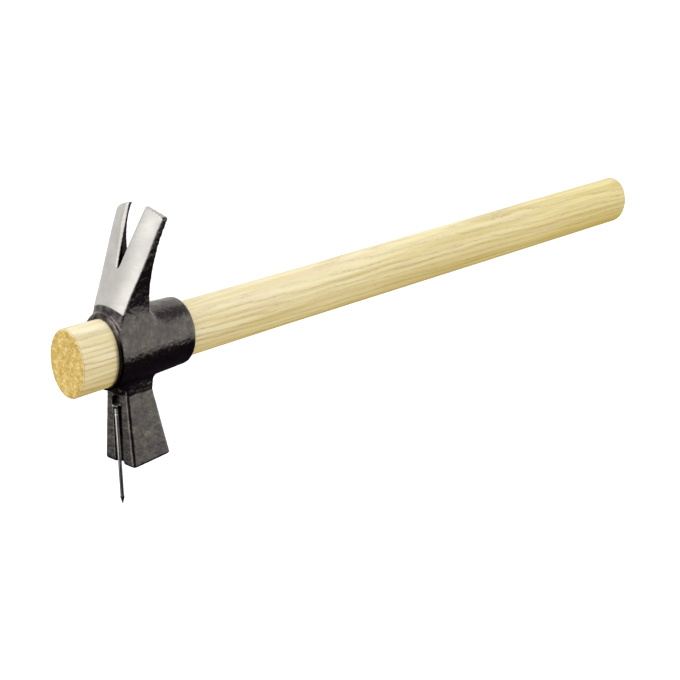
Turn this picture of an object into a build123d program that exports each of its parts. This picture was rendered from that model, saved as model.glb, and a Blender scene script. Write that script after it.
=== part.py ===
from build123d import *
import os

# Formwork carpenter's claw hammer with a magnetic nail starter.
# Units are millimetres.  The origin is the centre of the square striking face.
# +X runs along the handle towards the grip and +Z runs up to the claw.  Apart
# from the loaded nail, both sides of the XZ plane are alike.

# ---------------------------------------------------------------- dimensions

# Poll, the square hammering end under the eye
face_depth = 21.8            # striking face along X
face_width = 20.6            # striking face along Y
face_tilt = 4.4              # degrees; the face is square to the poll's leaning middle line
poll_round = 2.0             # fillet along the poll's four long edges
face_chamfer = 0.7           # bevel round the striking face
neck_height = 32.5           # where the poll is thinnest, above the face's centre
neck_depth = 15.2            # poll size along X at the neck
neck_width = 15.0            # poll size along Y at the neck
neck_blend = 4.0             # fillet between the poll and the eye

# Eye, the tapered oval tube round the handle
axis_height = 52.55          # handle axis above the striking face's centre
eye_front = -17.9            # X of the eye's front lip
eye_length = 43.5
eye_lift = 0.5               # the outside sits this much above the handle axis
eye_front_radii = (14.1, 17.7)   # outside half width and half height, front
eye_rear_radii = (13.2, 15.5)    # outside half width and half height, rear
eye_front_round = 1.2
eye_rear_round = 2.2

# Claw; its heights are measured from the handle axis
claw_tip = 62.6              # middle of the arched tip
tip_arch_radius = 28.0       # arch of the tip, seen along the handle
tip_half_width = 15.6        # across both tips, below their rounded corners
tip_corner_round = 2.6       # outer corners of the tip, seen along the handle
claw_front_blend = 2.0       # between the claw's front face and the eye's lip
claw_rear_blend = 5.0        # between the claw's back and the eye
notch_root = 36.6            # bottom of the V notch
notch_root_width = 0.9
notch_mouth_width = 10.9     # V notch across the two tips
notch_bevel = 0.8            # ground bevel along the notch's front edges

# Nail starter on the front of the poll: hollow groove, round pocket, magnet
groove_radius = 3.6
groove_depth = 1.6
pocket_diameter = 6.8
pocket_depth = 2.8
pocket_height = 27.6         # centre of the pocket above the striking face
magnet_diameter = 5.0
magnet_length = 4.0

# Nail, which hangs a little askew in the groove
nail_diameter = 1.8
nail_length = 47.5
nail_head_diameter = 3.8
nail_head_thickness = 0.9
nail_point_length = 4.0
nail_top = 26.8              # top of the nail's head above the striking face
nail_top_offset = 1.2        # top of the nail's head beside the XZ plane
nail_lean = 2.1              # degrees
nail_sink = 0.42             # nail's axis behind the front of the poll

# Handle: tapered oval, with its thick end in front of the head
handle_front = -36.9
handle_length = 400.0
handle_oval = 0.75           # half width as a share of half height
handle_front_round = 1.2
handle_grip_round = 5.0

# ------------------------------------------------------------ derived values

eye_rear = eye_front + eye_length
handle_end = handle_front + handle_length
poll_front = -face_depth / 2
eye_top = axis_height + eye_rear_radii[1]
half_root = notch_root_width / 2
half_mouth = notch_mouth_width / 2

# Half height of the handle at stations along it.  It narrows only inside the
# eye, which is what jams the head on.
bore_front = 15.5
bore_rear = 12.9
handle_stations = (
    (handle_front, 15.7),
    (eye_front, bore_front),
    (eye_rear, bore_rear),
    (eye_rear + 60, 12.65),
    (eye_rear + 190, 12.75),
    (handle_end, 12.8),
)

# Poll sections up into the eye: height, size along X and size along Y.  The
# first is below the origin, to be cut off along the tilted striking face.
poll_trim = 3.0
poll_flare = poll_trim / neck_height
poll_sections = (
    (
        -poll_trim,
        face_depth + poll_flare * (face_depth - neck_depth),
        face_width + poll_flare * (face_width - neck_width),
    ),
    (neck_height, neck_depth, neck_width),
    (neck_height + 12, neck_depth + 1, neck_width + 2),
)

# Claw sections from inside the eye up to the tip: height above the handle
# axis, then X behind the eye's front lip of the front face at its middle and
# its edges and of the back face at its middle and its edges, then half width.
claw_sections = (
    (8, 0.5, 2.4, 18.6, 19.0, 12.0),
    (20, 3.0, 5.6, 19.1, 19.2, 10.4),
    (32, 8.4, 11.4, 18.2, 19.4, 11.9),
    (44, 13.6, 17.2, 18.0, 21.6, 13.7),
    (claw_tip, 22.0, 27.3, 24.6, 29.6, 16.2),
)


def across_axis(x):
    """Plane across the handle axis at a given X, with its own Y pointing up."""
    return Plane(origin=(x, 0, axis_height), x_dir=(0, 1, 0), z_dir=(1, 0, 0))


def level(height):
    """Horizontal plane at a height above the striking face."""
    return Plane.XY.offset(height)


def notch_front(height):
    """X of the claw's front face at the notch's edge, and the notch's half width."""
    lower, upper = claw_sections[-3], claw_sections[-2]
    if height > upper[0]:
        lower, upper = upper, claw_sections[-1]
    rise = (height - lower[0]) / (upper[0] - lower[0])
    middle, side = (low + rise * (high - low) for low, high in zip(lower[1:3], upper[1:3]))
    half_width = lower[5] + rise * (upper[5] - lower[5])
    half_notch = half_root + (half_mouth - half_root) * (height - notch_root) / (claw_tip - notch_root)
    arch = (half_notch / half_width) ** 2
    return eye_front + middle + arch * (side - middle), half_notch


# --------------------------------------------------------------------- handle

with BuildPart() as handle:
    for station, half_height in handle_stations:
        with BuildSketch(across_axis(station)):
            Ellipse(half_height * handle_oval, half_height)
    loft(ruled=True)
    fillet(handle.edges().group_by(Axis.X)[0], handle_front_round)
    fillet(handle.edges().group_by(Axis.X)[-1], handle_grip_round)

handle.part.label = "handle"

# ----------------------------------------------------------------------- head

with BuildPart() as head:
    # Eye tube, still solid
    for station, radii in ((eye_front, eye_front_radii), (eye_rear, eye_rear_radii)):
        with BuildSketch(across_axis(station)):
            with Locations((0, eye_lift)):
                Ellipse(*radii)
    loft()

    # Poll, flaring down to the striking face from a flat upright front
    for height, depth, width in poll_sections:
        with BuildSketch(level(height)):
            with Locations((poll_front + depth / 2, 0)):
                RectangleRounded(depth, width, poll_round)
    loft(ruled=True)

    # Striking face
    split(bisect_by=Plane.XY.rotated((0, -face_tilt, 0)), keep=Keep.TOP)

    # Claw, a tapering wedge that leans back and is arched from side to side
    for height, front_mid, front_side, back_mid, back_side, half_width in claw_sections:
        with BuildSketch(level(axis_height + height)):
            front_right = (eye_front + front_side, -half_width)
            front_left = (eye_front + front_side, half_width)
            back_right = (eye_front + back_side, -half_width)
            back_left = (eye_front + back_side, half_width)
            with BuildLine():
                ThreePointArc(front_right, (eye_front + front_mid, 0), front_left)
                Line(front_left, back_left)
                ThreePointArc(back_left, (eye_front + back_mid, 0), back_right)
                Line(back_right, front_right)
            make_face()
    loft()

    # Tapered eye bore, which the handle's taper seats in along its whole length
    for station in (eye_front - 1, eye_rear + 1):
        share = (station - eye_front) / eye_length
        half_height = bore_front + share * (bore_rear - bore_front)
        with BuildSketch(across_axis(station)):
            Ellipse(half_height * handle_oval, half_height)
    loft(mode=Mode.SUBTRACT)

    # V notch for pulling nails, cut right through from front to back
    with BuildSketch(across_axis(eye_front)):
        with BuildLine():
            Line((-half_root, notch_root), (-half_mouth, claw_tip))
            Line((-half_mouth, claw_tip), (half_mouth, claw_tip))
            Line((half_mouth, claw_tip), (half_root, notch_root))
            ThreePointArc((half_root, notch_root), (0, notch_root - half_root), (-half_root, notch_root))
        make_face()
    extrude(amount=eye_length, mode=Mode.SUBTRACT)

    # Arched tips with rounded outer corners, as seen along the handle
    with BuildSketch(across_axis(eye_front)):
        with Locations((0, claw_tip)):
            Rectangle(3 * tip_arch_radius, tip_arch_radius)
        with BuildSketch(mode=Mode.PRIVATE) as tip_outline:
            with Locations((0, claw_tip - tip_arch_radius)):
                Circle(tip_arch_radius)
                Rectangle(2 * tip_half_width, 3 * tip_arch_radius, mode=Mode.INTERSECT)
            fillet(vertices(), tip_corner_round)
        add(tip_outline.sketch, mode=Mode.SUBTRACT)
    extrude(amount=eye_length, mode=Mode.SUBTRACT)

    # Ground bevel along the notch's front edges: a 45 degree V, level by level
    for height in (notch_root, claw_sections[-2][0], claw_tip):
        face_x, half_notch = notch_front(height)
        half_bevel = half_notch + notch_bevel
        with BuildSketch(level(axis_height + height)):
            with BuildLine():
                Polyline(
                    (face_x - 1, -half_bevel - 1),
                    (face_x + half_bevel, 0),
                    (face_x - 1, half_bevel + 1),
                    close=True,
                )
            make_face()
    loft(ruled=True, mode=Mode.SUBTRACT)

    # Groove down the front of the poll for a nail's shank
    with BuildSketch(level(-poll_trim)):
        with Locations((poll_front + groove_depth - groove_radius, 0)):
            Circle(groove_radius)
    extrude(amount=poll_trim + pocket_height, mode=Mode.SUBTRACT)

    # Pocket for the nail's head, with the magnet's bore behind it
    with Locations(Plane(origin=(poll_front, 0, pocket_height), z_dir=(-1, 0, 0))):
        CounterBoreHole(
            magnet_diameter / 2,
            pocket_diameter / 2,
            pocket_depth,
            pocket_depth + magnet_length,
        )

    # Blends where the poll and the claw grow out of the eye
    poll_joint = edges().filter_by_position(Axis.Z, neck_height + 4.5, neck_height + 10)
    poll_joint = poll_joint.filter_by_position(Axis.X, poll_front - 1, -poll_front)
    fillet(poll_joint, neck_blend)
    claw_back = edges().filter_by_position(Axis.X, 1, 4)
    claw_back = claw_back.filter_by_position(Axis.Z, eye_top - 1, eye_top + 2)
    fillet(claw_back, claw_rear_blend)

    # Rounded rims of the eye
    fillet(edges().group_by(Axis.X)[-1].sort_by(SortBy.LENGTH)[-1], eye_rear_round)
    fillet(edges().group_by(Axis.X)[0].sort_by(SortBy.LENGTH)[-1], eye_front_round)

    # Blend from the eye's lip up into the claw's front face
    lip_joint = edges().filter_by_position(Axis.X, eye_front + 1.5, eye_front + 3.5)
    lip_joint = lip_joint.filter_by_position(Axis.Z, eye_top - 1, eye_top + 4)
    fillet(lip_joint, claw_front_blend)

    # Bevel round the striking face
    face_edges = faces().sort_by(Axis.Z)[0].edges()
    chamfer(face_edges, face_chamfer)

head.part.label = "head"

# --------------------------------------------------------------------- magnet

with BuildPart() as magnet:
    with BuildSketch(Plane(origin=(poll_front + pocket_depth, 0, pocket_height), z_dir=(1, 0, 0))):
        Circle(magnet_diameter / 2)
    extrude(amount=magnet_length)

magnet.part.label = "magnet"

# ----------------------------------------------------------------------- nail

# The nail is turned about its own axis, which starts at the top of its head.
nail_head_top = (poll_front + nail_sink, nail_top_offset, nail_top)
nail_plane = Plane(origin=nail_head_top, x_dir=(1, 0, 0), z_dir=(0, -1, 0))
nail_plane = nail_plane.rotated((-nail_lean, 0, 0))

with BuildPart() as nail:
    shank_radius = nail_diameter / 2
    head_radius = nail_head_diameter / 2
    with BuildSketch(nail_plane):
        with BuildLine():
            Polyline(
                (0, 0),
                (head_radius, 0),
                (head_radius, -0.6 * nail_head_thickness),
                (shank_radius, -1.4 * nail_head_thickness),
                (shank_radius, nail_point_length - nail_length),
                (0, -nail_length),
                close=True,
            )
        make_face()
    revolve(axis=Axis(nail_plane.origin, nail_plane.y_dir))

nail.part.label = "nail"

# --------------------------------------------------------------------- export

os.makedirs("parts", exist_ok=True)
for piece in (head, handle, magnet, nail):
    export_step(piece.part, f"parts/{piece.part.label}.step")
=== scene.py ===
import math

import bmesh
import bpy
import numpy as np
from mathutils import Matrix, Vector, noise


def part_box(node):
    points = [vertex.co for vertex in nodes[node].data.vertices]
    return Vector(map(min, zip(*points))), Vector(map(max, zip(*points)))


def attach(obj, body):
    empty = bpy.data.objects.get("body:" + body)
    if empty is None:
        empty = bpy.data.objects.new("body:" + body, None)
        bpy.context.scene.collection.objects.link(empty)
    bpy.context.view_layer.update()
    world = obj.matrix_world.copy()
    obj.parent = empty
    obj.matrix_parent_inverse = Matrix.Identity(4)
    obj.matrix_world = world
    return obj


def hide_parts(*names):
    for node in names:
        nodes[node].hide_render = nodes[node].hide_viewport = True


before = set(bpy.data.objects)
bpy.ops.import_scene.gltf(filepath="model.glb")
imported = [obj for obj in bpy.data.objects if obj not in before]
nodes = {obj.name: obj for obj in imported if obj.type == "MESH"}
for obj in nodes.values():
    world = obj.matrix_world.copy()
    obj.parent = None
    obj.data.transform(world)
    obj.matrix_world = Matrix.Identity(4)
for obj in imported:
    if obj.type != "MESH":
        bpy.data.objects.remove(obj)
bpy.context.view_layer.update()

MM = 0.001
VOXEL = 0.00036
head_low, head_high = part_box("head")
handle_low, handle_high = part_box("handle")
nail_low, nail_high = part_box("nail")
magnet_low, magnet_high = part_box("magnet")
axis_z = (handle_low.z + handle_high.z) / 2
eye_front = head_low.x


def mm(*values):
    """Metres from millimetres."""
    return tuple(value * MM for value in values)


# ------------------------------------------------------------------ node help

class Graph:
    """A short way to write a node tree."""

    def __init__(self, tree):
        self.tree = tree
        tree.nodes.clear()

    def add(self, kind, inputs=None, **settings):
        node = self.tree.nodes.new(kind)
        for name, value in settings.items():
            setattr(node, name, value)
        for name, value in (inputs or {}).items():
            socket = node.inputs[name]
            if isinstance(value, bpy.types.NodeSocket):
                self.tree.links.new(value, socket)
            else:
                socket.default_value = value
        return node

    def math(self, operation, a, b=0.0, c=0.0):
        return self.add("ShaderNodeMath", {0: a, 1: b, 2: c}, operation=operation).outputs[0]

    def noise(self, vector, scale, detail, rough, distortion=0.0):
        node = self.add("ShaderNodeTexNoise", {
            "Vector": vector, "Scale": scale, "Detail": detail,
            "Roughness": rough, "Distortion": distortion})
        return node.outputs["Fac"]

    def stretch(self, vector, scale, location=(0, 0, 0)):
        node = self.add("ShaderNodeMapping", {
            "Vector": vector, "Scale": scale, "Location": location})
        return node.outputs[0]

    def ramp(self, fac, stops):
        node = self.add("ShaderNodeValToRGB", {"Fac": fac})
        ramp = node.color_ramp
        while len(ramp.elements) < len(stops):
            ramp.elements.new(0.5)
        for element, (place, colour) in zip(ramp.elements, stops):
            element.position = place
            if isinstance(colour, (int, float)):
                colour = (colour, colour, colour)
            element.color = (*colour, 1.0)
        return node.outputs["Color"]

    def mix(self, fac, a, b):
        node = self.add("ShaderNodeMix", data_type="RGBA")
        for place, value in ((0, fac), (6, a), (7, b)):
            if isinstance(value, bpy.types.NodeSocket):
                self.tree.links.new(value, node.inputs[place])
            elif place:
                node.inputs[place].default_value = (*value, 1.0)
            else:
                node.inputs[place].default_value = value
        return node.outputs[2]

    def map_range(self, value, low, high, to_low=0.0, to_high=1.0, smooth=True):
        node = self.add("ShaderNodeMapRange", {
            "Value": value, "From Min": low, "From Max": high,
            "To Min": to_low, "To Max": to_high})
        node.interpolation_type = "SMOOTHSTEP" if smooth else "LINEAR"
        return node.outputs[0]

    def bump(self, height, distance, strength):
        return self.add("ShaderNodeBump", {
            "Height": height, "Distance": distance, "Strength": strength}).outputs[0]


def srgb(r, g, b):
    """Linear colour from the usual 0-255 values."""
    return tuple((v / 255) ** 2.2 for v in (r, g, b))


def material(name):
    made = bpy.data.materials.new(name)
    made.use_nodes = True
    return made, Graph(made.node_tree)


def finish_material(graph, shader):
    out = graph.add("ShaderNodeOutputMaterial")
    graph.tree.links.new(shader, out.inputs["Surface"])


# ------------------------------------------------------------------ materials

BLACK_DARK, BLACK, BLACK_PALE = (0.092, 0.080, 0.078), (0.148, 0.138, 0.120), (0.235, 0.225, 0.185)
BLACK_PURPLE = (0.105, 0.082, 0.098)
RUBBED = (0.30, 0.285, 0.27)
# colour of the painted shade on the head's rim, lip, notch walls and pocket
PAINTED_SHADE_COLOUR = (0.012, 0.009, 0.008)
GROUND_DULL, GROUND_BRIGHT = (0.55, 0.53, 0.505), (0.64, 0.62, 0.585)
GROUND_SCRATCH = (0.44, 0.425, 0.405)


def forged_steel():
    """Black lacquered forging, with bright ground steel and painted shade where the mesh says so."""
    made, g = material("forged_steel_detail")
    place = g.add("ShaderNodeTexCoord").outputs["Object"]
    blotch = g.noise(place, 300, 4.0, 0.6, 0.4)
    patch = g.noise(place, 90, 3.0, 0.55)
    grain = g.noise(place, 2600, 3.0, 0.6)
    speck = g.noise(place, 900, 4.0, 0.65)
    wear = g.add("ShaderNodeAttribute", attribute_name="wear").outputs["Fac"]
    ground = g.add("ShaderNodeAttribute", attribute_name="ground").outputs["Fac"]
    painted_shade = g.add("ShaderNodeAttribute", attribute_name="painted_shade").outputs["Fac"]

    tone = g.math("ADD", g.math("MULTIPLY", blotch, 0.6), g.math("MULTIPLY", speck, 0.4))
    colour = g.ramp(tone, [(0.33, BLACK_DARK), (0.5, BLACK), (0.66, BLACK_PALE)])
    colour = g.mix(g.map_range(patch, 0.38, 0.66, 0.0, 0.6), colour, BLACK_PURPLE)
    rubbed = g.math("MULTIPLY", wear, g.map_range(blotch, 0.35, 0.6))
    colour = g.mix(rubbed, colour, RUBBED)
    # painted shade: near black on the eye's rim beside the handle, the lip, the notch's walls and the
    # pocket
    colour = g.mix(painted_shade, colour, PAINTED_SHADE_COLOUR)
    rough = g.map_range(speck, 0.3, 0.7, 0.15, 0.26)
    height = g.math("ADD", g.math("MULTIPLY", speck, 0.7), g.math("MULTIPLY", grain, 0.3))
    relief = g.bump(height, 0.00014, 0.7)
    black = g.add("ShaderNodeBsdfPrincipled", {
        "Base Color": colour, "Metallic": 1.0, "Roughness": rough, "Normal": relief})

    lines = g.noise(g.stretch(place, (500, 90, 6000)), 1.0, 3.0, 0.6)
    cloud = g.noise(place, 120, 3.0, 0.5)
    steel = g.mix(g.map_range(cloud, 0.3, 0.7), GROUND_DULL, GROUND_BRIGHT)
    steel = g.mix(g.map_range(lines, 0.35, 0.75, 0.0, 0.35), steel, GROUND_SCRATCH)
    steel_rough = g.map_range(lines, 0.3, 0.7, 0.34, 0.46)
    steel_relief = g.bump(lines, 0.00004, 0.5)
    bright = g.add("ShaderNodeBsdfPrincipled", {
        "Base Color": steel, "Metallic": 1.0, "Roughness": steel_rough, "Normal": steel_relief})
    shown = g.add("ShaderNodeMixShader", {0: ground, 1: black.outputs[0], 2: bright.outputs[0]})
    finish_material(g, shown.outputs[0])
    return made


# Ash, at the head end and at the grip end where the two differ
PALE_HEAD, PALE_GRIP = srgb(238, 229, 196), srgb(232, 217, 158)
DEEP_HEAD, DEEP_GRIP = srgb(222, 206, 158), srgb(213, 195, 126)
BLUSH = srgb(226, 203, 172)
EARLY_WOOD = srgb(160, 138, 98)
FIBRE = srgb(178, 155, 108)
PORE = srgb(128, 106, 72)
SAWN_DARK, SAWN, SAWN_PALE = srgb(174, 140, 64), srgb(210, 181, 102), srgb(238, 218, 160)
SAWN_RING = srgb(170, 126, 62)
ROUNDED_LINE = srgb(166, 132, 82)
# colour of the painted shadow on the wood where it goes into the eye
SEAT_SHADOW = srgb(70, 56, 36)
PITH_Y, PITH_Z = -0.030, 0.045
PITH_SLOPE = 0.020
RINGS_PER_METRE = 410.0


def ash_wood():
    """Pale ash: growth rings round a pith well below the handle, pores, fibre, end grain."""
    made, g = material("ash_wood_detail")
    place = g.add("ShaderNodeTexCoord").outputs["Object"]
    x, y, z = g.add("ShaderNodeSeparateXYZ", {0: place}).outputs

    # growth rings, which wander a little along the handle
    drift = g.noise(g.stretch(place, (8, 55, 55)), 1.0, 3.0, 0.5)
    wobble = g.noise(g.stretch(place, (60, 260, 260)), 1.0, 2.0, 0.5)
    pith_y = g.math("ADD", y, PITH_Y)
    pith_z = g.math("ADD", g.math("MULTIPLY_ADD", x, PITH_SLOPE, z), PITH_Z)
    radius = g.math("SQRT", g.math("ADD", g.math("MULTIPLY", pith_y, pith_y),
                                   g.math("MULTIPLY", pith_z, pith_z)))
    radius = g.math("MULTIPLY_ADD", drift, 0.010, radius)
    radius = g.math("MULTIPLY_ADD", wobble, 0.0011, radius)
    ring = g.math("FRACT", g.math("MULTIPLY", radius, RINGS_PER_METRE))
    early = g.ramp(ring, [(0.0, 0.9), (0.10, 1.0), (0.30, 0.25), (0.45, 0.0), (0.80, 0.0), (1.0, 0.9)])
    ring_mood = g.noise(g.stretch(place, (14, 130, 130), (0.4, 0.1, 0.7)), 1.0, 2.0, 0.5)
    early = g.math("MULTIPLY", early, g.map_range(ring_mood, 0.32, 0.62, 0.25, 1.0))

    fibre = g.noise(g.stretch(place, (60, 2400, 2400)), 1.0, 4.0, 0.65)
    streak = g.noise(g.stretch(place, (10, 330, 330)), 1.0, 3.0, 0.55)
    blush = g.noise(g.stretch(place, (22, 210, 210), (0.9, 0.3, 0.2)), 1.0, 3.0, 0.55)
    pores = g.map_range(g.noise(g.stretch(place, (330, 4200, 4200)), 1.0, 2.0, 0.5), 0.58, 0.68)

    # cream beside the head, yellower towards the grip
    along = g.map_range(x, 0.02, 0.34, smooth=False)
    pale = g.mix(along, PALE_HEAD, PALE_GRIP)
    deep = g.mix(along, DEEP_HEAD, DEEP_GRIP)
    colour = g.mix(g.map_range(streak, 0.32, 0.66), deep, pale)
    colour = g.mix(g.map_range(blush, 0.50, 0.70, 0.0, 0.45), colour, BLUSH)
    early_fac = g.math("MULTIPLY", early, g.map_range(fibre, 0.3, 0.62, 0.5, 1.0))
    ring_depth = g.map_range(x, -0.01, 0.10, 0.62, 0.34)
    colour = g.mix(g.math("MULTIPLY", early_fac, ring_depth), colour, EARLY_WOOD)
    colour = g.mix(g.map_range(fibre, 0.52, 0.74, 0.0, 0.22), colour, FIBRE)
    dark_pores = g.math("MULTIPLY", pores, g.math("MULTIPLY_ADD", early, 0.5, 0.10))
    colour = g.mix(dark_pores, colour, PORE)

    # saw-cut ends, with a thin brown line where they are rounded over
    normal = g.add("ShaderNodeNewGeometry").outputs["Normal"]
    facing = g.math("ABSOLUTE", g.add("ShaderNodeSeparateXYZ", {0: normal}).outputs[0])
    end = g.map_range(facing, 0.74, 0.88)
    fleck = g.noise(place, 1150, 3.0, 0.6)
    clump = g.noise(place, 330, 2.0, 0.5)
    end_tone = g.math("ADD", g.math("MULTIPLY", fleck, 0.6), g.math("MULTIPLY", clump, 0.4))
    end_colour = g.ramp(end_tone, [(0.36, SAWN_DARK), (0.5, SAWN), (0.66, SAWN_PALE)])
    end_colour = g.mix(g.math("MULTIPLY", early, 0.22), end_colour, SAWN_RING)
    colour = g.mix(end, colour, end_colour)
    line = g.math("MULTIPLY", g.map_range(facing, 0.28, 0.5), g.map_range(facing, 0.78, 0.6))
    colour = g.mix(g.math("MULTIPLY", line, 0.5), colour, ROUNDED_LINE)

    # painted shadow round the wood where it goes into the eye, fading towards the top
    seat_shadow = g.math("MULTIPLY", g.map_range(x, eye_front - 1.8 * MM, eye_front - 0.1 * MM, 0.0, 0.7),
                  g.map_range(z, axis_z + 11 * MM, axis_z + 2 * MM))
    seat_shadow = g.math("MULTIPLY", seat_shadow, g.map_range(x, eye_front + 1.0 * MM, eye_front + 0.5 * MM))
    colour = g.mix(seat_shadow, colour, SEAT_SHADOW)

    height = g.math("SUBTRACT", g.math("MULTIPLY", fibre, 0.5), dark_pores)
    height = g.math("ADD", height, g.math("MULTIPLY", g.math("MULTIPLY", fleck, end), 1.5))
    relief = g.bump(height, 0.00012, 0.5)
    wood = g.add("ShaderNodeBsdfPrincipled", {
        "Base Color": colour, "Normal": relief, "Specular IOR Level": 0.5,
        "Roughness": g.map_range(fibre, 0.3, 0.7, 0.36, 0.52)})
    finish_material(g, wood.outputs[0])
    return made


# colour of the painted dark reflection on the nail's lower shank
PAINTED_DARK_REFLECTION = (0.085, 0.080, 0.080)
NAIL_BRIGHT, NAIL_DARK = (0.80, 0.79, 0.78), (0.52, 0.51, 0.50)
NAIL_SHADE_FROM, NAIL_SHADE_TO = 0.010, -0.008
MAGNET_BRIGHT, MAGNET_DARK = (0.52, 0.51, 0.52), (0.30, 0.29, 0.30)


def plated_steel(name, colour, dark, rough, darker_below=None):
    """Bright drawn or plated steel with fine marks. darker_below gives the heights between which
    it turns to a painted dark reflection on the way down."""
    made, g = material(name)
    place = g.add("ShaderNodeTexCoord").outputs["Object"]
    marks = g.noise(g.stretch(place, (5000, 5000, 260)), 1.0, 3.0, 0.6)
    cloud = g.noise(place, 700, 3.0, 0.5)
    tone = g.mix(g.map_range(marks, 0.35, 0.7, 0.0, 0.5), colour, dark)
    tone = g.mix(g.map_range(cloud, 0.45, 0.75, 0.0, 0.5), tone, dark)
    if darker_below:
        height = g.add("ShaderNodeSeparateXYZ", {0: place}).outputs[2]
        # painted dark reflection: darker towards the bottom
        painted_dark = g.map_range(height, *darker_below, 0.0, 0.9)
        tone = g.mix(painted_dark, tone, PAINTED_DARK_REFLECTION)
    shader = g.add("ShaderNodeBsdfPrincipled", {
        "Base Color": tone, "Metallic": 1.0,
        "Roughness": g.map_range(cloud, 0.3, 0.7, rough, rough + 0.12),
        "Normal": g.bump(marks, 0.00003, 0.2)})
    finish_material(g, shader.outputs[0])
    return made


def floor_material():
    made, g = material("studio_floor")
    place = g.add("ShaderNodeTexCoord").outputs["Object"]
    mottle = g.noise(place, 3.0, 2.0, 0.5)
    colour = g.mix(mottle, (0.93, 0.93, 0.925), (0.955, 0.955, 0.95))
    shader = g.add("ShaderNodeBsdfPrincipled", {
        "Base Color": colour, "Roughness": 0.9, "Specular IOR Level": 0.1,
        "Emission Color": (1.0, 1.0, 1.0, 1.0), "Emission Strength": 0.35})
    finish_material(g, shader.outputs[0])
    return made


# ---------------------------------------------------------------- forged head

def edge_arrays(mesh):
    pairs = np.empty(len(mesh.edges) * 2, int)
    mesh.edges.foreach_get("vertices", pairs)
    return pairs[0::2], pairs[1::2]


def relax(points, ends, weight, rounds):
    """Laplacian smoothing, each vertex by its own weight."""
    a, b = ends
    count = np.bincount(a, minlength=len(points)) + np.bincount(b, minlength=len(points))
    for _ in range(rounds):
        total = np.empty_like(points)
        for k in range(3):
            total[:, k] = (np.bincount(a, points[b, k], len(points))
                           + np.bincount(b, points[a, k], len(points)))
        points = points + weight[:, None] * (total / count[:, None] - points)
    return points


def vertex_points(mesh):
    values = np.empty(len(mesh.vertices) * 3)
    mesh.vertices.foreach_get("co", values)
    return values.reshape(-1, 3)


def vertex_normals(mesh):
    values = np.empty(len(mesh.vertices) * 3)
    mesh.vertex_normals.foreach_get("vector", values)
    return values.reshape(-1, 3)


def set_points(mesh, points):
    mesh.vertices.foreach_set("co", points.ravel())
    mesh.update()


def smooth_step(value, low, high):
    t = np.clip((value - low) / (high - low), 0, 1)
    return t * t * (3 - 2 * t)


def band(value, start, full, fade, end):
    """1 between full and fade, falling to 0 at start and end."""
    return smooth_step(value, start, full) * (1 - smooth_step(value, fade, end))


def field(points, scale, octaves, seed):
    """Fractal noise at each point, about -1 to 1."""
    shift = Vector((seed * 7.3, seed * 3.1, seed * 5.7))
    return np.array([noise.fractal(Vector(p) * scale + shift, 1.0, 2.0, octaves)
                     for p in points])


# Where each finish and each patch of painted shade on the head starts and ends. UP is measured
# from the eye's axis, BACK from the eye's front rim and SIDE from the middle. FACING is how
# squarely a surface faces forwards, or up at the tips and sideways in the notch.
FOOT_UP = mm(3, 7, 15, 19)
FOOT_BACK = mm(1.5, 5)
FOOT_SIDE = mm(5.5, 8)
FOOT_ROUNDS = 70
TUBE_BACK = mm(0, 3, 40, 43)
TUBE_UP = mm(-24, -20, 22, 26)
BORE_HALF_WIDTH, BORE_HALF_HEIGHT = mm(11.9, 15.8)
GROUND_LINE_UP = 20.8         # mm at the middle, and GROUND_ARCH lower at ARCH_SIDE
GROUND_ARCH = 2.6
ARCH_SIDE = 10 * MM
GROUND_EDGE = mm(-0.15, 0.25)
GROUND_FACING = (0.48, 0.60)
TIP_UP = mm(54, 56)
TIP_FACING = (0.74, 0.84)
POLL_UP = mm(-24, -18)
MOST_PROUD = 0.05             # mm
WORN_BULGE = mm(0.05, 0.16)
RIM_FACING = (0.05, 0.3)
RIM_TOP = mm(6, 13)
RIM_FOOT = mm(-19, -17)
RIM_BACK = mm(1.0, 1.6)
NOTCH_FACING = (0.75, 0.9)
NOTCH_UP = mm(35.5, 36.5)
NOTCH_SIDE = mm(6, 7)
LIP_FACING = (0.2, 0.5)
LIP_UP = mm(11, 15)
LIP_BACK = mm(4, 5)
POCKET_RADIUS = mm(3.8, 3.4)


def remeshed(source, name, voxel):
    """A copy of a CAD object as an even mesh that still lies on its surface."""
    mesh = source.data.copy()
    piece = bpy.data.objects.new(name, mesh)
    bpy.context.scene.collection.objects.link(piece)
    weld = piece.modifiers.new("weld", "WELD")
    weld.merge_threshold = 1e-6
    remesh = piece.modifiers.new("remesh", "REMESH")
    remesh.mode = "VOXEL"
    remesh.voxel_size = voxel
    wrap = piece.modifiers.new("wrap", "SHRINKWRAP")
    wrap.target = source
    wrap.wrap_method = "NEAREST_SURFACEPOINT"
    bpy.context.view_layer.update()
    graph = bpy.context.evaluated_depsgraph_get()
    fine = bpy.data.meshes.new_from_object(piece.evaluated_get(graph))
    piece.modifiers.clear()
    piece.data = fine
    bpy.data.meshes.remove(mesh)
    return piece


def in_bore(points, up):
    return (points[:, 1] / BORE_HALF_WIDTH) ** 2 + (up / BORE_HALF_HEIGHT) ** 2 < 1.0


def ground_mask(up, side, normals):
    """The claw's ground front, above an arched line over the eye's lip, and its two tips."""
    line = (GROUND_LINE_UP - GROUND_ARCH * (side / ARCH_SIDE) ** 2) * MM
    ground = smooth_step(up - line, *GROUND_EDGE) * smooth_step(-normals[:, 0], *GROUND_FACING)
    tips = smooth_step(up, *TIP_UP) * smooth_step(normals[:, 2], *TIP_FACING)
    return np.maximum(ground, tips)


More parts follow.
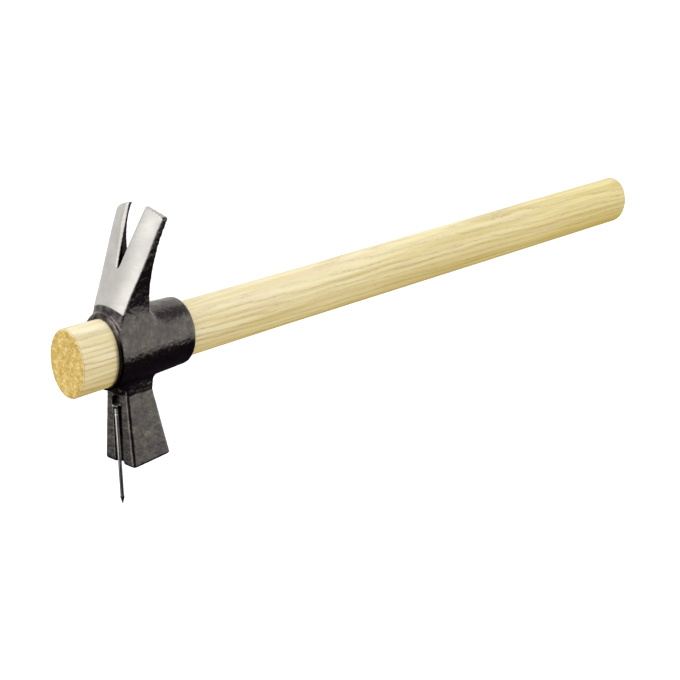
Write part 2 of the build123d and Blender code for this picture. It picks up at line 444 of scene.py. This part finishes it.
def painted_shade_mask(points, up, side, normals):
    """Painted shade on the eye's front rim beside the handle, on the lip in patches, on the notch's walls
    and in the magnet's pocket.
    """
    back = points[:, 0] - eye_front
    facing = -normals[:, 0]
    rim = smooth_step(facing, *RIM_FACING) * (1 - smooth_step(up, *RIM_TOP))
    rim *= 1 - smooth_step(back, *RIM_BACK)
    rim *= smooth_step(up, *RIM_FOOT)
    walls = smooth_step(np.abs(normals[:, 1]), *NOTCH_FACING) * smooth_step(up, *NOTCH_UP)
    walls *= 1 - smooth_step(side, *NOTCH_SIDE)
    lip = smooth_step(facing, *LIP_FACING) * smooth_step(up, *LIP_UP)
    lip *= 1 - smooth_step(back, *LIP_BACK)
    lip *= np.clip(0.42 + 0.9 * field(points, 350, 2, 4), 0, 0.85)
    off_magnet = np.hypot(points[:, 1], points[:, 2] - (magnet_low.z + magnet_high.z) / 2)
    # known flaw: nothing keeps this circle to the front, so it darkens the poll's back as well
    pocket = smooth_step(off_magnet, *POCKET_RADIUS)
    return np.maximum.reduce([rim, 0.9 * walls, lip, 0.9 * pocket])


def forged_head():
    piece = remeshed(nodes["head"], "forged_head", VOXEL)
    mesh = piece.data
    ends = edge_arrays(mesh)
    points = vertex_points(mesh)
    everywhere = np.full(len(points), 0.5)
    points = relax(points, ends, everywhere, 3)

    # the claw's sides grow out of the eye with soft forged shoulders
    up = points[:, 2] - axis_z
    back = points[:, 0] - eye_front
    side = np.abs(points[:, 1])
    claw_foot = band(up, *FOOT_UP)
    claw_foot *= smooth_step(back, *FOOT_BACK) * smooth_step(side, *FOOT_SIDE)
    claw_foot = claw_foot * band(back, *TUBE_BACK) * ~in_bore(points, up)
    points = relax(points, ends, 0.5 * claw_foot, FOOT_ROUNDS)
    set_points(mesh, points)
    normals = vertex_normals(mesh)
    up = points[:, 2] - axis_z
    side = np.abs(points[:, 1])
    ground = ground_mask(up, side, normals)

    # forging marks in mm, shallower on the poll and kept off the ground face and the eye's bore
    rough = (1 - ground) * ~in_bore(points, up)
    dents = 0.11 * field(points, 260, 3, 1) + 0.05 * field(points, 900, 3, 2)
    calm_poll = 0.55 + 0.45 * smooth_step(up, *POLL_UP)
    depth = np.minimum(dents, MOST_PROUD) * MM * rough * calm_poll
    ripple = 0.02 * field(points, 90, 2, 3) * MM * ground
    points = points + normals * (depth + ripple)[:, None]
    points = np.clip(points, np.array(head_low), np.array(head_high))
    set_points(mesh, points)

    # rubbed convex edges, away from the eye's tube
    smooth_points = relax(points, ends, everywhere, 6)
    bulge = ((points - smooth_points) * normals).sum(1)
    off_tube = 1 - band(up, *TUBE_UP)
    wear = smooth_step(bulge, *WORN_BULGE) * (1 - ground) * off_tube
    # painted shade on the rim beside the handle, the lip, the notch's walls and the pocket, kept off the
    # ground face
    painted_shade = painted_shade_mask(points, up, side, normals) * (1 - ground)

    for name, values in (("ground", ground), ("wear", wear), ("painted_shade", painted_shade)):
        layer = mesh.attributes.new(name, "FLOAT", "POINT")
        layer.data.foreach_set("value", values.astype(np.float32))
    mesh.polygons.foreach_set("use_smooth", np.ones(len(mesh.polygons), bool))
    mesh.materials.clear()
    mesh.materials.append(forged_steel())
    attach(piece, "hammer")
    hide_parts("head")


def wire_nail():
    """A round wire nail: thin countersunk head, grip marks under it, four-sided point."""
    cad = vertex_points(nodes["nail"].data)
    tip = Vector(cad[cad[:, 2].argmin()])
    crown = cad[cad[:, 2] > nail_high.z - 0.45 * MM]
    top = Vector(((nail_low.x + nail_high.x) / 2, (crown[:, 1].min() + crown[:, 1].max()) / 2,
                  (crown[:, 2].min() + crown[:, 2].max()) / 2))
    axis = (tip - top).normalized()
    length = (tip - top).length
    head_radius = (nail_high.x - nail_low.x) / 2
    shank_radius = 0.9 * MM
    head_depth = 0.9 * MM
    point_depth = 4.0 * MM
    grip_marks, first_mark, mark_pitch = 4, 1.9, 0.7
    flatness = 0.86
    sides = 32

    # distance from the crown, radius, and how square the section is
    rings = [(0.06 * MM, 0.80 * head_radius, 0), (0.16 * MM, 0.95 * head_radius, 0),
             (0.30 * MM, 0.995 * head_radius, 0), (0.50 * MM, 0.97 * head_radius, 0),
             (0.72 * MM, 0.78 * head_radius, 0), (head_depth, 1.25 * shank_radius, 0),
             (1.35 * head_depth, shank_radius, 0)]
    for mark in range(grip_marks):
        start = (first_mark + mark_pitch * mark) * MM
        rings += [(start, shank_radius, 0), (start + 0.12 * MM, 0.93 * shank_radius, 0),
                  (start + 0.36 * MM, 0.93 * shank_radius, 0), (start + 0.48 * MM, shank_radius, 0)]
    shank_end = length - point_depth
    rings += [(5.5 * MM, 0.98 * shank_radius, 0), (shank_end - 2.0 * MM, 0.90 * shank_radius, 0),
              (shank_end - 0.6 * MM, 0.90 * shank_radius, 0.1), (shank_end, shank_radius, 0.5),
              (shank_end + 0.4 * MM, 0.97 * shank_radius, 1), (length - 1.2 * MM, 0.32 * shank_radius, 1),
              (length - 0.25 * MM, 0.08 * shank_radius, 1)]

    across = axis.cross(Vector((1, 0, 0))).normalized()
    deep = axis.cross(across).normalized()
    built = bmesh.new()
    loops = []
    for distance, radius, square in rings:
        loop = []
        for k in range(sides):
            angle = 2 * math.pi * (k + 0.5) / sides
            reach = max(abs(math.cos(angle)), abs(math.sin(angle)))
            spread = radius * (1 - square + square * flatness / reach)
            offset = across * math.cos(angle) + deep * math.sin(angle)
            loop.append(built.verts.new(top + axis * distance + offset * spread))
        loops.append(loop)
    for upper, lower in zip(loops, loops[1:]):
        for k in range(sides):
            built.faces.new((upper[k - 1], upper[k], lower[k], lower[k - 1]))
    for loop, place in ((loops[0], top), (loops[-1], tip)):
        middle = built.verts.new(place)
        for k in range(sides):
            built.faces.new((middle, loop[k], loop[k - 1]))
    bmesh.ops.recalc_face_normals(built, faces=built.faces)
    mesh = bpy.data.meshes.new("wire_nail")
    built.to_mesh(mesh)
    built.free()
    mesh.polygons.foreach_set("use_smooth", np.ones(len(mesh.polygons), bool))
    mesh.set_sharp_from_angle(angle=math.radians(40))
    piece = bpy.data.objects.new("wire_nail", mesh)
    bpy.context.scene.collection.objects.link(piece)
    mesh.materials.append(plated_steel("bright_steel_detail", NAIL_BRIGHT, NAIL_DARK, 0.24,
                                       darker_below=(NAIL_SHADE_FROM, NAIL_SHADE_TO)))
    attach(piece, "nail")
    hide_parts("nail")


forged_head()
wire_nail()
nodes["handle"].material_slots[0].material = ash_wood()
nodes["magnet"].material_slots[0].material = plated_steel(
    "magnet_detail", MAGNET_BRIGHT, MAGNET_DARK, 0.3)


# ------------------------------------------------------------------ the studio

def place_camera():
    """The camera's angle, distance and framing, solved with one lens for the whole object."""
    azimuth, elevation = math.radians(-46.28), math.radians(18.84)
    lens_px, frame_px = 1700.0, 680.0
    depth, off_x, off_y = 0.73303, -238.25, 13.65
    back = Vector((math.sin(azimuth) * math.cos(elevation),
                   -math.cos(azimuth) * math.cos(elevation), math.sin(elevation)))
    right = Vector((math.cos(azimuth), math.sin(azimuth), 0))
    up = back.cross(right)
    target = Vector((eye_front, 0, axis_z))
    place = target + back * depth - right * (off_x * depth / lens_px) + up * (off_y * depth / lens_px)
    data = bpy.data.cameras.new("camera")
    data.sensor_width = 36.0
    data.lens = 36.0 * lens_px / frame_px
    data.clip_end = 50.0
    camera = bpy.data.objects.new("camera", data)
    turn = Matrix((right, up, back)).transposed().to_4x4()
    camera.matrix_world = Matrix.Translation(place) @ turn
    bpy.context.scene.collection.objects.link(camera)
    bpy.context.scene.camera = camera


def area_light(name, place, target, size, power):
    data = bpy.data.lights.new(name, "AREA")
    data.shape = "RECTANGLE"
    data.size, data.size_y = size
    data.energy = power
    light = bpy.data.objects.new(name, data)
    light.location = place
    light.rotation_euler = (target - place).to_track_quat("-Z", "Y").to_euler()
    bpy.context.scene.collection.objects.link(light)


# The world's regions, by the direction they lie in. Each pair runs from none to full.
PIT_EDGE = (-0.365, -0.275)
PIT_LOWER_ON_LEFT = 0.05
PIT_LEFT = (-0.3, -0.6)
ROOM_WAY = (-0.723, -0.691)
ROOM_EDGE = (0.62, 0.86)
ROOM_TOP = (0.30, 0.05)
ROOM_LOST_ON_MATT = 0.8
GAP_UP = (0.48, 0.60)
GAP_NEAR = (0.08, -0.08)
GAP_RIGHT = (-0.1, 0.25)
GAP_DEPTH = 0.78
SOFT_MIDDLE = 0.06
SOFT_HALF_WIDTH = (0.34, 0.20)
SOFT_LEFT = (-0.5, -0.7)
SOFT_FOOT = (-0.62, -0.5)
SOFT_TOP = (0.75, 0.6)
WALL_LEVEL, SOFT_LEVEL = 0.95, 0.9
SHADE = (0.030, 0.022, 0.032)
WALL = (1.0, 1.0, 0.985)
FLOOR_BOUNCE = (0.92, 0.77, 0.34)
BACKDROP = (1.0, 1.0, 1.0)


def studio_world():
    """Bright walls and a soft light on the left, with a dark gap in the ceiling, a dark room
    behind the camera and a dark pit below. What the camera sees directly is plain white."""
    world = bpy.data.worlds.new("studio")
    world.use_nodes = True
    g = Graph(world.node_tree)
    way = g.add("ShaderNodeTexCoord").outputs["Generated"]
    x, y, z = g.add("ShaderNodeSeparateXYZ", {0: way}).outputs
    ray = g.add("ShaderNodeLightPath").outputs
    diffuse = ray["Is Diffuse Ray"]

    left_side = g.map_range(x, *PIT_LEFT)
    above_pit = g.map_range(g.math("MULTIPLY_ADD", left_side, PIT_LOWER_ON_LEFT, z), *PIT_EDGE)
    to_room = g.math("MULTIPLY_ADD", x, ROOM_WAY[0], g.math("MULTIPLY", y, ROOM_WAY[1]))
    room = g.math("MULTIPLY", g.map_range(to_room, *ROOM_EDGE), g.map_range(z, *ROOM_TOP))
    # matt surfaces hardly see the dark room
    room = g.math("MULTIPLY", room, g.math("MULTIPLY_ADD", diffuse, -ROOM_LOST_ON_MATT, 1.0))
    gap = g.math("MULTIPLY", g.map_range(z, *GAP_UP), g.map_range(y, *GAP_NEAR))
    gap = g.math("MULTIPLY", gap, g.map_range(x, *GAP_RIGHT, 0.0, GAP_DEPTH))
    lit = g.math("MULTIPLY", above_pit, g.math("SUBTRACT", 1.0, room))
    lit = g.math("MULTIPLY", lit, g.math("SUBTRACT", 1.0, gap))
    across = g.math("ABSOLUTE", g.math("ADD", y, -SOFT_MIDDLE))
    soft = g.math("MULTIPLY", g.map_range(across, *SOFT_HALF_WIDTH), g.map_range(x, *SOFT_LEFT))
    soft = g.math("MULTIPLY", soft, g.math("MULTIPLY", g.map_range(z, *SOFT_FOOT),
                                           g.map_range(z, *SOFT_TOP)))
    level = g.math("MULTIPLY_ADD", lit, WALL_LEVEL, g.math("MULTIPLY", soft, SOFT_LEVEL))
    strength = g.math("MAXIMUM", level, 1.0)
    colour = g.mix(g.map_range(level, 0.0, 1.0, smooth=False), SHADE, WALL)
    # matt surfaces also get a warm bounce from below in place of the pit
    bounce = g.math("MULTIPLY", diffuse, g.math("SUBTRACT", 1.0, above_pit))
    colour = g.mix(bounce, colour, FLOOR_BOUNCE)
    colour = g.mix(ray["Is Camera Ray"], colour, BACKDROP)
    shade = g.add("ShaderNodeBackground", {"Color": colour, "Strength": strength})
    out = g.add("ShaderNodeOutputWorld")
    g.tree.links.new(shade.outputs[0], out.inputs["Surface"])
    bpy.context.scene.world = world


def lay_floor():
    """A pale floor that the camera sees, kept out of reflections and bounced light."""
    mesh = bpy.data.meshes.new("floor")
    half, height = 20.0, -0.25
    mesh.from_pydata([(-half, -half, height), (half, -half, height), (half, half, height),
                      (-half, half, height)], [], [(0, 1, 2, 3)])
    floor = bpy.data.objects.new("floor", mesh)
    floor.data.materials.append(floor_material())
    floor.visible_glossy = False
    floor.visible_diffuse = False
    bpy.context.scene.collection.objects.link(floor)


place_camera()
studio_world()
lay_floor()
key_target = Vector((0.08, 0, axis_z))
key_place = key_target + Vector((-0.25, -0.35, 0.95))
area_light("key", key_place, key_target, size=(0.9, 0.9), power=5)
view = bpy.context.scene.view_settings
view.view_transform = "Standard"
view.look = "None"
